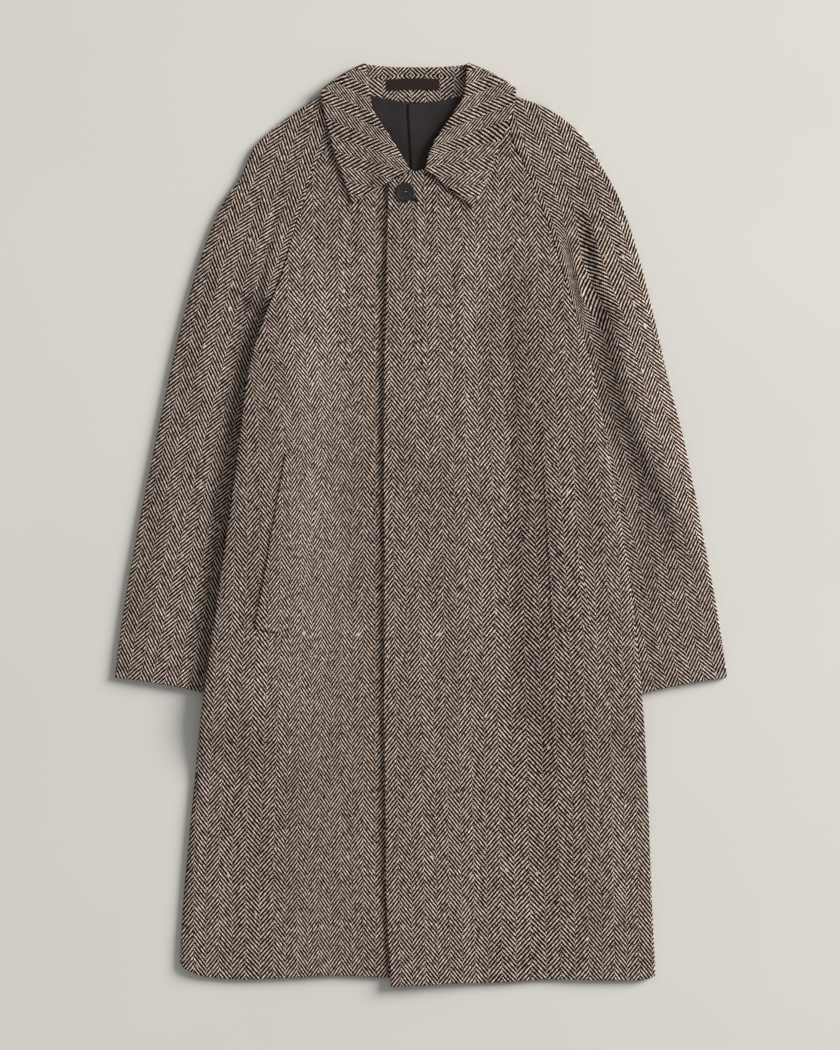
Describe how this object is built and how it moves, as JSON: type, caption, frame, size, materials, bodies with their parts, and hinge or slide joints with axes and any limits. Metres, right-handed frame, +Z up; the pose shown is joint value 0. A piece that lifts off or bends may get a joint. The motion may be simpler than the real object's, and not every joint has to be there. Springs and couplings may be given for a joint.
{
  "type": "wool overcoat, laid flat",
  "caption": "Raglan-sleeved wool overcoat in herringbone tweed, laid flat on its back, with turned-down collar, concealed front fastening and slanted pockets.",
  "frame": {"origin": "on the surface the coat lies on, under the middle of its outline", "axes": "+X to the right of the coat as seen from above, which is the wearer's left; +Y from hem to collar; +Z up off the surface"},
  "size_m": [0.7342, 1.1078, 0.0255],
  "materials": {
    "herringbone_wool": "herringbone tweed, brown-grey with coloured neps, matt",
    "lining_satin": "charcoal satin",
    "label_weave": "dark brown woven label, bare",
    "dark_horn": "satin"
  },
  "bodies": {
    "root": {"back": "herringbone_wool", "front_right": "herringbone_wool", "front_left": "herringbone_wool", "sleeve_right_back": "herringbone_wool", "sleeve_right_front": "herringbone_wool", "sleeve_left_back": "herringbone_wool", "sleeve_left_front": "herringbone_wool", "collar_stand": "herringbone_wool", "collar_fall": "herringbone_wool", "pocket_welt_right": "herringbone_wool", "pocket_welt_left": "herringbone_wool", "lining": "lining_satin", "neck_label": "label_weave", "neck_button": "dark_horn"}
  },
  "joints": []
}
